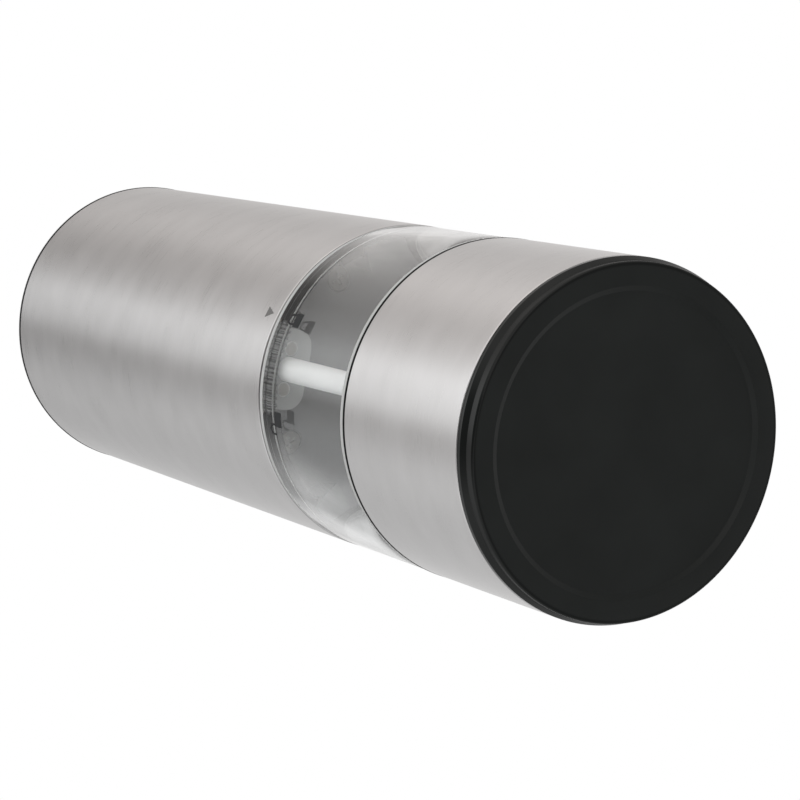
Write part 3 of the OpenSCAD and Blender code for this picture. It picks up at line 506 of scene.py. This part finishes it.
def grow(name, tree, values):
    holder = bpy.data.objects.new(name, bpy.data.meshes.new(name + "_start"))
    scene.collection.objects.link(holder)
    modifier = holder.modifiers.new("rule", "NODES")
    modifier.node_group = tree
    for item in tree.interface.items_tree:
        if item.in_out == "INPUT":
            modifier[item.identifier] = values[item.name]
    shown = holder.evaluated_get(bpy.context.evaluated_depsgraph_get())
    mesh = bpy.data.meshes.new_from_object(shown)
    holder.modifiers.remove(modifier)
    mesh.name = name
    holder.data = mesh
    mesh.polygons.foreach_set("use_smooth", [True] * len(mesh.polygons))
    mesh.set_sharp_from_angle(angle=math.radians(STRAIGHT_WALL_DEG))
    return holder

print("tree helpers ready")

# %% [markdown]
# ## Ring rule
# A sleeve is a rule: a small rectangle with rounded corners, swept round a circle. Curve to Mesh does just
# that. The same tree gives both sleeves, the thin seal and the small rings further on, each from its radius,
# wall, foot, height and edge.

# %% Ring rule
def ring_tree():
    sizes = {"Radius": 0.032, "Wall": 0.0006, "Foot": 0.0, "Height": 0.04, "Edge": 0.0002, "Steps": 256}
    tree, given = new_tree("swept_ring", sizes)
    half_wall = maths(tree, "MULTIPLY", given["Wall"], 0.5)
    path_r = maths(tree, "SUBTRACT", given["Radius"], half_wall)
    path = add(tree, "GeometryNodeCurvePrimitiveCircle", Resolution=given["Steps"], Radius=path_r)
    section = add(tree, "GeometryNodeCurvePrimitiveQuadrilateral", Width=given["Wall"],
                  Height=given["Height"])
    soft = add(tree, "GeometryNodeFilletCurve", {"mode": "POLY"}, Curve=section.outputs[0], Count=4,
               Radius=given["Edge"])
    swept = add(tree, "GeometryNodeCurveToMesh", Curve=path.outputs[0], Profile_Curve=soft.outputs[0])
    half_up = maths(tree, "MULTIPLY_ADD", given["Height"], 0.5, given["Foot"])
    lift = add(tree, "ShaderNodeCombineXYZ", Z=half_up).outputs[0]
    placed = add(tree, "GeometryNodeTransform", Geometry=swept.outputs[0], Translation=lift)
    close_tree(tree, placed.outputs[0], given)
    return tree

RING = ring_tree()


def ring(name, material, radius, wall, foot, height, edge, steps=256):
    return grow(name, RING, {"Radius": radius * MM, "Wall": wall * MM, "Foot": foot * MM,
                             "Height": height * MM, "Edge": edge * MM, "Steps": steps, "Finish": material})

print("ring rule:", len(RING.nodes), "nodes")

# %% [markdown]
# ## Steel sleeves and seal
# The lower sleeve belongs to the foot, and the upper one turns with the head. Both take their height and
# radius from their CAD node. The seal has a lip that folds over the lower sleeve's edge, which is the dark
# line under the window.

# %% Steel sleeves and seal
def sleeve(name, node, material, wall, edge, lip_out=0.0, lip_down=0.0):
    low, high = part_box(node)
    foot = low.z / MM - lip_down
    return ring(name, material, high.x / MM + lip_out, wall, foot, high.z / MM - foot, edge)

STEEL_WALL, STEEL_EDGE = 0.6, 0.22
lower = sleeve("lower_sleeve_brushed", "lower_sleeve", STEEL, STEEL_WALL, STEEL_EDGE)
dress(lower, "base", "brushed_steel", "lower_sleeve")
upper = sleeve("upper_sleeve_brushed", "upper_sleeve", STEEL, STEEL_WALL, STEEL_EDGE)
dress(upper, "head", "brushed_steel", "upper_sleeve")
seal = sleeve("window_seal_ring", "window_seal", RUBBER, 0.5, 0.12, lip_out=0.14, lip_down=0.4)
dress(seal, "base", "seal_rubber", "window_seal")

# %% [markdown]
# ## Pepper window
# The clear cup is the window wall, a skirt inside the lower sleeve and a funnel. It is turned like the cap.
# The wire tube passes through the funnel, so a Boolean cuts its hole, and then the solid stays closed for
# refraction.

# %% Pepper window
def bored(piece, x, y, radius, z, height):
    bm = bmesh.new()
    place = Matrix.Translation((x * MM, y * MM, (z + height / 2) * MM))
    bmesh.ops.create_cone(bm, cap_ends=True, segments=48, radius1=radius * MM, radius2=radius * MM,
                          depth=height * MM, matrix=place)
    tool = finish_mesh(bm, "bore_tool", piece.data.materials[0])
    cut = piece.modifiers.new("bore", "BOOLEAN")
    cut.object = tool
    cut.operation = "DIFFERENCE"
    cut.solver = "EXACT"
    mesh = bpy.data.meshes.new_from_object(piece.evaluated_get(bpy.context.evaluated_depsgraph_get()))
    piece.modifiers.remove(cut)
    piece.data = mesh
    bpy.data.objects.remove(tool)
    mesh.set_sharp_from_angle(angle=math.radians(SMOOTH_DEG))

window_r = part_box("pepper_chamber")[1].x / MM
inner_r, rebate_r, skirt_r, skirt_inner_r, spout_r, mouth_r = 28.1, 27.97, 31.3, 29.5, 18.25, 15.05
window_top, window_foot, cup_foot, rebate_z = 77.4, 43.9, 31.2, 75.7
shoulder_z, spout_z, mouth_z, slope_top = 43.3, 32.4, 33.0, 45.9
window = turned("pepper_window_clear", [
    (window_r, window_top, 0.2), (window_r, window_foot, 0.25), (skirt_r, window_foot, 0.1),
    (skirt_r, cup_foot, 0.3), (skirt_inner_r, cup_foot, 0.3), (skirt_inner_r, shoulder_z, 0.6),
    (spout_r, spout_z, 0.3), (spout_r, cup_foot, 0.2), (mouth_r, cup_foot, 0.2), (mouth_r, mouth_z, 0.5),
    (inner_r, slope_top, 4.0), (inner_r, rebate_z - 0.05, 0), (rebate_r, rebate_z, 0),
    (rebate_r, window_top, 0.2),
], CLEAR, segments=256)
TUBE_Y = -24.5
bored(window, 0, TUBE_Y, radius=2.3, z=30.2, height=18)
dress(window, "base", "clear_acrylic", "pepper_chamber")

# %% [markdown]
# ## Painted highlight lines on the window
# The window's two ends and a line inside, below the locking ring, show bright where their edges catch the
# light. The ring rule makes all three as thin pale bands on the wall, which are painted highlights.

# %% Painted highlight lines on the window
HIGHLIGHT_LINE_R, HIGHLIGHT_LINE_WALL, HIGHLIGHT_LINE_HEIGHT = window_r + 0.01, 0.12, 1.05
for label, line_r, wall, foot, height in (("low", HIGHLIGHT_LINE_R, HIGHLIGHT_LINE_WALL, 43.95, HIGHLIGHT_LINE_HEIGHT),
                                          ("high", HIGHLIGHT_LINE_R, HIGHLIGHT_LINE_WALL, 76.25, HIGHLIGHT_LINE_HEIGHT),
                                          ("inner", 28.09, 0.07, 74.3, 0.6)):
    # Each thin pale band stands for a bright edge line: painted highlight.
    line = ring("window_edge_" + label, PAINTED_EDGE_HIGHLIGHT, line_r, wall, foot, height, edge=wall * 0.4)
    dress(line, "base", "clear_acrylic")

# %% [markdown]
# ## Wire tube
# A white tube leads the lamp's wires through the pepper. It tapers a little towards its foot, as a long
# moulding does so that it leaves its mould. Beside it, a thin collar stands round each of the lamp's
# contacts.

# %% Wire tube
low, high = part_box("wire_tube")
tube_foot, tube_top = low.z / MM, high.z / MM
tube_bore_r, tube_foot_r, tube_top_r = 1.2, 2.1, 2.2
tube = turned("wire_tube_moulded", [
    (tube_bore_r, tube_foot, 0), (tube_foot_r, tube_foot, 0.2), (tube_top_r, tube_top, 0.25),
    (tube_bore_r, tube_top, 0.1),
], WHITE, segments=64)
tube.data.transform(Matrix.Translation((0, TUBE_Y * MM, 0)))
dress(tube, "base", "white_plastic", "wire_tube")
PIN_X = 3.65
for label, pin_x in (("left", -PIN_X), ("right", PIN_X)):
    collar = ring("pin_collar_" + label, WHITE, radius=1.32, wall=0.16, foot=75.85, height=0.25, edge=0.05,
                  steps=48)
    collar.data.transform(Matrix.Translation((pin_x * MM, TUBE_Y * MM, 0)))
    dress(collar, "base", "white_plastic")

# %% [markdown]
# ## Top cover
# The cover closes the battery room. The photograph shows no more of it than its thin dark rim, so it follows
# the CAD outline, with small roundings on its edges. Like the cap it is one turned outline.

# %% Top cover
cover_low, cover_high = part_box("top_cover")
rim_r, cover_top, skirt_end = cover_high.x / MM, cover_high.z / MM, cover_low.z / MM
hole_r, cover_skirt_r, cover_skirt_inner_r = 15.3, 29.6, 27.8
under, rim_z = cover_top - 2.5, cover_top - 0.8
cover = turned("top_cover_moulded", [
    (hole_r, under, 0.2), (cover_skirt_inner_r, under, 0.1), (cover_skirt_inner_r, skirt_end, 0.3),
    (cover_skirt_r, skirt_end, 0.3), (cover_skirt_r, rim_z, 0.1), (rim_r, rim_z, 0.15),
    (rim_r, cover_top, 0.4), (hole_r, cover_top, 0.35),
], BLACK)
dress(cover, "cover", "black_plastic", "top_cover")

# %% [markdown]
# ## Push button
# The button is hollow below, with a collar that keeps it under the cover and a stem that pushes the switch.
# It follows the CAD outline, with a shallow dish for the thumb. The dish is a parabola of a few steps, since
# a turned outline can hold any curve.

# %% Push button
button_low, button_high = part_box("push_button")
button_top, stem_end = button_high.z / MM, button_low.z / MM
button_r, collar_r, hollow_r, stem_r = 15, 17.2, 13.2, 2.5
collar_z, hollow_z = stem_end + 0.5, button_top - 1.8
collar_top = collar_z + 1.4
DISH_R, DISH_DEPTH, DISH_STEPS = 14, 0.6, 8
dish = [(DISH_R * k / DISH_STEPS, button_top - DISH_DEPTH * (1 - (k / DISH_STEPS) ** 2), 0)
        for k in range(DISH_STEPS)]
button = turned("push_button_moulded", dish + [
    (button_r, button_top, 0.9), (button_r, collar_top, 0.2), (collar_r, collar_top, 0.25),
    (collar_r, collar_z, 0.2), (hollow_r, collar_z, 0.2), (hollow_r, hollow_z, 0.5), (stem_r, hollow_z, 0.2),
    (stem_r, stem_end, 0.3), (0, stem_end, 0),
], BLACK)
dress(button, "button", "black_plastic", "push_button")

# %% [markdown]
# ## Springs and switch leaf
# These three change length when their joint moves, so riding stiffly on one body would push them through a
# neighbour. Each is a copy of its CAD piece, with its loose triangles merged and its place baked into the
# mesh, and the CAD piece is hidden.

# %% Springs and switch leaf
def flexing(node):
    bm = bmesh.new()
    bm.from_mesh(nodes[node].data)
    piece = finish_mesh(bm, node + "_flexing", nodes[node].data.materials[0])
    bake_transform(piece)
    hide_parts(node)

flexing("button_spring")
flexing("switch_leaf")
flexing("rotor_spring")

# %% [markdown]
# ## Strokes and patches
# A sign is drawn flat, in millimetres along the surface, from strokes and blocks. A curve object could hold
# the strokes, but small quads bend round a cylinder without any further cutting. The last helper bends
# them and gives them the thickness of a printed film.

# %% Strokes and patches
def bar(points, width):
    left, right = [], []
    for i, p in enumerate(points):
        before = Vector(points[max(i - 1, 0)])
        after = Vector(points[min(i + 1, len(points) - 1)])
        along = (after - before).normalized()
        side = Vector((-along.y, along.x)) * width / 2
        left.append(Vector(p) + side)
        right.append(Vector(p) - side)
    return [[left[i], right[i], right[i + 1], left[i + 1]] for i in range(len(points) - 1)]


def arc(cx, cz, radius, start, stop, steps=14):
    angles = [math.radians(start + (stop - start) * k / steps) for k in range(steps + 1)]
    return [(cx + radius * math.cos(a), cz + radius * math.sin(a)) for a in angles]


def block(x0, x1, z0, z1, columns=8):
    xs = [x0 + (x1 - x0) * k / columns for k in range(columns + 1)]
    return [[(a, z0), (b, z0), (b, z1), (a, z1)] for a, b in zip(xs, xs[1:])]


def printed(name, patches, radius, material, film=0.03):
    bm = bmesh.new()
    for patch in patches:
        turns = [x / radius - math.pi / 2 for x, _ in patch]
        bottom, top = [[on_circle(bm, r, turn, z) for turn, (_, z) in zip(turns, patch)]
                       for r in (radius, radius + film)]
        bm.faces.new(top)
        bm.faces.new(bottom[::-1])
        for k in range(len(patch)):
            n = (k + 1) % len(patch)
            bm.faces.new((bottom[k], bottom[n], top[n], top[k]))
    return finish_mesh(bm, name, material, smooth_deg=20)

print("one stroke bend has", len(bar(arc(0, 0, 1, 180, 0), 0.4)), "patches")

# %% [markdown]
# ## Printed signs
# A closed and an open padlock on the window and a small triangle on the steel show how far to turn the head.
# A padlock is a block with a bent bar for its shackle. The open one has its shackle swung to the side.

# %% Printed signs
SHACKLE_R, SHACKLE_WIDTH, OVER_SURFACE = 0.93, 0.42, 0.003
POINTER_X, POINTER_HALF, POINTER_LOW, POINTER_HIGH, SLEEVE_R = 10.2, 1.15, 79.6, 82.4, 32


def padlock(left, right, low, high, shackle_x, shackle_z, start, stop):
    bow = arc(shackle_x, shackle_z, SHACKLE_R, start, stop)
    shackle = [(bow[0][0], high)] + bow + [(bow[-1][0], high)]
    return block(left, right, low, high) + bar(shackle, SHACKLE_WIDTH)

closed_lock = padlock(8.35, 11.2, 68.0, 70.6, 9.78, 71.7, start=180, stop=0)
open_lock = padlock(-10.95, -8.05, 68.6, 71.3, -11.53, 72.3, start=0, stop=180)
locks = printed("padlock_signs", closed_lock + open_lock, window_r + OVER_SURFACE, INK)
dress(locks, "base", "black_plastic")
pointer = [[(POINTER_X - POINTER_HALF, POINTER_HIGH), (POINTER_X, POINTER_LOW),
            (POINTER_X + POINTER_HALF, POINTER_HIGH)]]
dress(printed("pointer_sign", pointer, SLEEVE_R + OVER_SURFACE, PALE_INK), "head", "black_plastic")

# %% [markdown]
# ## Floor
# The photograph has a pure white ground. The floor is a pale disc under the foot. The photograph's camera
# looks up through it, so its back is clear, and only the camera sees it.

# %% Floor
FLOOR_R, FLOOR_Z = 1.6, -0.5 * MM


def pale_floor():
    material, tree, inputs = new_material("pale_floor", (0.86, 0.86, 0.86), Roughness=0.9)
    uneven = add(tree, "ShaderNodeTexNoise", Scale=40.0, Detail=2.0).outputs["Fac"]
    tree.links.new(ramp(tree, uneven, 0.8, 0.95), inputs["Roughness"])
    back = add(tree, "ShaderNodeNewGeometry").outputs["Backfacing"]
    front = tree.nodes["Principled BSDF"].outputs[0]
    clear = add(tree, "ShaderNodeBsdfTransparent").outputs[0]
    mix = add(tree, "ShaderNodeMixShader", i0=back, i1=front, i2=clear)
    tree.links.new(mix.outputs[0], tree.nodes["Material Output"].inputs["Surface"])
    return material

bm = bmesh.new()
bmesh.ops.create_circle(bm, cap_ends=True, segments=96, radius=FLOOR_R,
                        matrix=Matrix.Translation((0, 0, FLOOR_Z)))
floor = finish_mesh(bm, "floor", pale_floor())
floor.visible_diffuse = floor.visible_glossy = floor.visible_transmission = floor.visible_shadow = False
print("floor", 2 * FLOOR_R, "m across")

# %% [markdown]
# ## World
# Soft light comes from all sides. The world is white to the eye, to metal and to glass, and a little darker
# for matt surfaces, which the lamps make up for. Light Path tells these rays apart.

# %% World
MATT_SEES, EYE_SEES = (0.62, 0.62, 0.62), (1.0, 1.0, 1.0)
world = bpy.data.worlds.new("studio")
scene.world = world
world.use_nodes = True
air = world.node_tree
path = add(air, "ShaderNodeLightPath").outputs
seen = maths(air, "ADD", path["Is Camera Ray"], path["Is Glossy Ray"])
seen = add(air, "ShaderNodeMath", {"operation": "ADD", "use_clamp": True}, i0=seen,
           i1=path["Is Transmission Ray"]).outputs[0]
air.links.new(tint(air, seen, MATT_SEES, EYE_SEES), air.nodes["Background"].inputs["Color"])
print("world:", world.name)

# %% [markdown]
# ## Light tent: round about
# Metal shows what stands around it, so a photographer puts grey and white cards round it. Here one tall
# round wall stands for them, and its brightness follows the direction: a bright strip above the lens and
# calmer grey beside it give the steel its bands. A Color Ramp over the turn holds the cards. Its stops are
# made at their own place, because Blender keeps them in order only then.

# %% Tent bands
# Each stop is a direction in degrees, a brightness and a warmth.
TENT_STOPS = (
    (-180, 0.65, 0), (-130, 0.67, 0), (-110, 0.51, 0.5), (-98, 1.0, 0), (-76, 1.2, 0), (-60, 0.78, 0.6),
    (-43, 0.61, 1), (-18, 0.755, 1), (26, 0.665, 0.8), (38, 0.67, 0.7), (58, 0.79, 0.4), (120, 0.84, 0.1),
    (150, 0.68, 0), (180, 0.65, 0),
)
BRIGHTEST, WARM_GREEN, WARM_BLUE, SOFT_EDGE = 1.2, 0.038, 0.06, 0.25


def tent_bands(tree, turn):
    bands = add(tree, "ShaderNodeValToRGB", Fac=ramp(tree, turn, 0.0, 1.0, -math.pi, math.pi))
    stops = bands.color_ramp.elements
    for k, (angle, level, warm) in enumerate(TENT_STOPS):
        along = (angle + 180) / 360
        stop = stops[k] if k < 2 else stops.new(along)
        stop.position = along
        grey = level / BRIGHTEST
        stop.color = (grey, grey * (1 - WARM_GREEN * warm), grey * (1 - WARM_BLUE * warm), 1.0)
    return bands.outputs["Color"]


def beside(tree, turn, angle, half):
    away = maths(tree, "COSINE", maths(tree, "SUBTRACT", turn, math.radians(angle)))
    return card(tree, maths(tree, "ARCCOSINE", away), 0.0, half, SOFT_EDGE)

print("tent stops:", len(TENT_STOPS))

# %% [markdown]
# ## Light tent: up and down
# The wall gets dimmer with height, and faster so round the bright strip, so the steel is brighter towards
# the foot. Low down it is dark behind the mill, which the cap's face shows, and at the place of the lens,
# which shows in the cap's glossy side.

# %% Tent heights
# A place round about is a direction in degrees and a half width in radians.
STRIP_AT, LENS_AT = (-77, 1.2), (-94, 0.44)


def tent_heights(tree, parts, turn):
    high = ramp(tree, parts["Z"], 1.48, 0.86, 1.6, 4.2)
    steeper = maths(tree, "MULTIPLY_ADD", beside(tree, turn, *STRIP_AT),
                    ramp(tree, parts["Z"], 0.38, -0.52, 1.8, 3.1), 1.0)
    behind = ramp(tree, parts["Y"], 0.0, 0.65, -0.3, 0.5)
    below = ramp(tree, parts["Z"], 1.0, 0.0, -1.2, 0.4)
    lens = maths(tree, "MULTIPLY", beside(tree, turn, *LENS_AT), ramp(tree, parts["Z"], 0.9, 0.0, 0.2, 0.7))
    dark = maths(tree, "MAXIMUM", maths(tree, "MULTIPLY", behind, below), lens)
    return maths(tree, "MULTIPLY", maths(tree, "MULTIPLY", high, steeper),
                 maths(tree, "SUBTRACT", 1.0, dark))

print("tent heights ready")

# %% [markdown]
# ## Light tent: through the window
# Two cloudy cards high on the sides light the window's edges. Only rays that the clear wall bends or mirrors
# may see them, or the steel would show them too: Is Singular Ray is true for just those. The far wall gets a
# thin cloudy shade where it is seen through the window, and the light that reaches the pieces inside is a
# little stronger.

# %% Tent cards for the window
LEFT_CARD_AT, RIGHT_CARD_AT = (165, 0.55), (28, 0.6)
CARD_Z, CARD_HALF, CARD_SOFT = 2.6, 0.7, 0.5


def window_cards(tree, place, parts, turn, level):
    path = add(tree, "ShaderNodeLightPath").outputs
    through = path["Is Transmission Ray"]
    inside = ramp(tree, path["Diffuse Depth"], 0.0, 1.0, 0.0, 1.0)
    glass = maths(tree, "MULTIPLY", path["Is Singular Ray"], maths(tree, "SUBTRACT", 1.0, inside))
    cloud = add(tree, "ShaderNodeTexNoise", Vector=place, Scale=1.3, Detail=3.0).outputs["Fac"]
    sides = maths(tree, "ADD", beside(tree, turn, *LEFT_CARD_AT), beside(tree, turn, *RIGHT_CARD_AT))
    sides = maths(tree, "MULTIPLY", sides, card(tree, parts["Z"], CARD_Z, CARD_HALF, CARD_SOFT))
    shown = maths(tree, "MULTIPLY", glass, ramp(tree, through, 1.0, 0.4, 0.0, 1.0))
    sides = maths(tree, "MULTIPLY", sides, shown)
    level = maths(tree, "MULTIPLY_ADD", sides, ramp(tree, cloud, 0.7, 1.7), level)
    veil = maths(tree, "MULTIPLY", through, ramp(tree, parts["Y"], 0.0, 1.0, -0.2, 0.3))
    veil = maths(tree, "MULTIPLY", glass, veil)
    veil = maths(tree, "MULTIPLY", veil, ramp(tree, cloud, 0.66, 0.46))
    lifted = maths(tree, "MULTIPLY_ADD", inside, 0.5, 1.0)
    return maths(tree, "MULTIPLY", level, maths(tree, "SUBTRACT", lifted, veil))

print("tent cards ready")

# %% [markdown]
# ## Light tent: the wall
# The wall is an open tube that shines by itself. Only reflections and clear plastic see it, and it throws no
# shadow, so matt surfaces keep the even light of the world and the lamps.

# %% Tent wall
TENT_R, TENT_HEIGHT = 1.4, 30.0


def tent_wall():
    material = bpy.data.materials.new("tent_cards")
    material.use_nodes = True
    tree = material.node_tree
    tree.nodes.remove(tree.nodes["Principled BSDF"])
    place = add(tree, "ShaderNodeTexCoord").outputs["Object"]
    parts = add(tree, "ShaderNodeSeparateXYZ", Vector=place).outputs
    turn = maths(tree, "ARCTAN2", parts["Y"], parts["X"])
    level = window_cards(tree, place, parts, turn, tent_heights(tree, parts, turn))
    glow = add(tree, "ShaderNodeEmission", Color=tent_bands(tree, turn), Strength=level)
    tree.links.new(glow.outputs[0], tree.nodes["Material Output"].inputs["Surface"])
    return material

bm = bmesh.new()
bmesh.ops.create_cone(bm, cap_ends=False, segments=96, radius1=TENT_R, radius2=TENT_R, depth=TENT_HEIGHT)
tent = finish_mesh(bm, "tent", tent_wall())
tent.visible_camera = tent.visible_diffuse = tent.visible_shadow = False
print("tent", 2 * TENT_R, "m across")

# %% [markdown]
# ## Lamps
# Two large soft lamps and a weak one from below give the matt pieces their form. They are kept out of
# reflections, because the tent already stands for them there.

# %% Lamps
AIM_AT = (0, 0, 0.1)


def lamp(name, place, size, power):
    data = bpy.data.lights.new(name, "AREA")
    data.shape = "DISK"
    data.size = size
    data.energy = power
    light = bpy.data.objects.new(name, data)
    scene.collection.objects.link(light)
    aim = (Vector(AIM_AT) - Vector(place)).to_track_quat("-Z", "Y")
    light.matrix_world = Matrix.Translation(place) @ aim.to_matrix().to_4x4()
    light.visible_glossy = light.visible_camera = light.visible_transmission = False
    print(f"{name}: {power} W, {size} m across")

lamp("key_lamp", (0.9, -0.7, 0.7), 0.7, 7.0)
lamp("fill_lamp", (-0.9, -0.6, 0.2), 0.8, 3.5)
lamp("low_lamp", (0.2, -0.6, -0.8), 0.6, 3.0)
